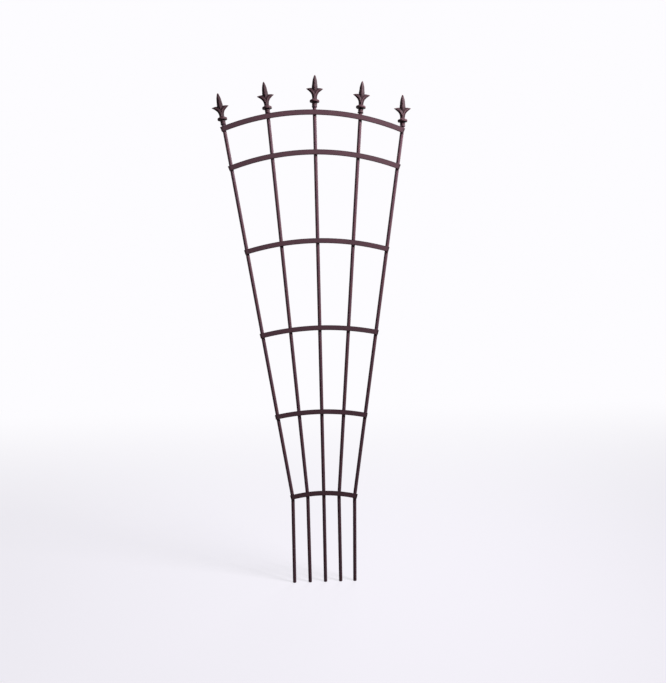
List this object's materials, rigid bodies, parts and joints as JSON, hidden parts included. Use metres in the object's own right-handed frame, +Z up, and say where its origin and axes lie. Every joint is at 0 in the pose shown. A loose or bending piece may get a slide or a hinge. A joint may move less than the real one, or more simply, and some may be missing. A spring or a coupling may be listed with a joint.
{
  "type": "garden fan trellis",
  "caption": "Fan-shaped welded steel garden trellis with arched flat bands across round uprights, prongs for the soil and fleur-de-lis finials on top.",
  "frame": {"origin": "middle of the centre prong's square-cut foot", "axes": "+Z up along the centre upright, +X to the right seen from the front, -Y out of the front, where the bands lie; the uprights' axes lie in the plane y = 0"},
  "size_m": [0.6799, 0.034, 1.8204],
  "materials": {
    "powder_coated_bar": "satin rust-brown powder coat on drawn round bar",
    "powder_coated_band": "satin rust-brown powder coat on hot-rolled flat bar",
    "powder_coated_casting": "satin rust-brown powder coat on a sand-cast finial",
    "powder_coated_weld": "satin rust-brown powder coat over a weld bead"
  },
  "bodies": {
    "root": {"upright_1": "powder_coated_bar", "upright_2": "powder_coated_bar", "upright_3": "powder_coated_bar", "upright_4": "powder_coated_bar", "upright_5": "powder_coated_bar", "band_1": "powder_coated_band", "band_2": "powder_coated_band", "band_3": "powder_coated_band", "band_4": "powder_coated_band", "band_5": "powder_coated_band", "band_6": "powder_coated_band", "finial_1": "powder_coated_casting", "finial_2": "powder_coated_casting", "finial_3": "powder_coated_casting", "finial_4": "powder_coated_casting", "finial_5": "powder_coated_casting", "weld_socket_1": "powder_coated_weld", "weld_socket_2": "powder_coated_weld", "weld_socket_3": "powder_coated_weld", "weld_socket_4": "powder_coated_weld", "weld_socket_5": "powder_coated_weld", "weld_band_1_upright_1": "powder_coated_weld", "weld_band_1_upright_2": "powder_coated_weld", "weld_band_1_upright_3": "powder_coated_weld", "weld_band_1_upright_4": "powder_coated_weld", "weld_band_1_upright_5": "powder_coated_weld", "weld_band_2_upright_1": "powder_coated_weld", "weld_band_2_upright_2": "powder_coated_weld", "weld_band_2_upright_3": "powder_coated_weld", "weld_band_2_upright_4": "powder_coated_weld", "weld_band_2_upright_5": "powder_coated_weld", "weld_band_3_upright_1": "powder_coated_weld", "weld_band_3_upright_2": "powder_coated_weld", "weld_band_3_upright_3": "powder_coated_weld", "weld_band_3_upright_4": "powder_coated_weld", "weld_band_3_upright_5": "powder_coated_weld", "weld_band_4_upright_1": "powder_coated_weld", "weld_band_4_upright_2": "powder_coated_weld", "weld_band_4_upright_3": "powder_coated_weld", "weld_band_4_upright_4": "powder_coated_weld", "weld_band_4_upright_5": "powder_coated_weld", "weld_band_5_upright_1": "powder_coated_weld", "weld_band_5_upright_2": "powder_coated_weld", "weld_band_5_upright_3": "powder_coated_weld", "weld_band_5_upright_4": "powder_coated_weld", "weld_band_5_upright_5": "powder_coated_weld", "weld_band_6_upright_1": "powder_coated_weld", "weld_band_6_upright_2": "powder_coated_weld", "weld_band_6_upright_3": "powder_coated_weld", "weld_band_6_upright_4": "powder_coated_weld", "weld_band_6_upright_5": "powder_coated_weld"}
  },
  "joints": []
}
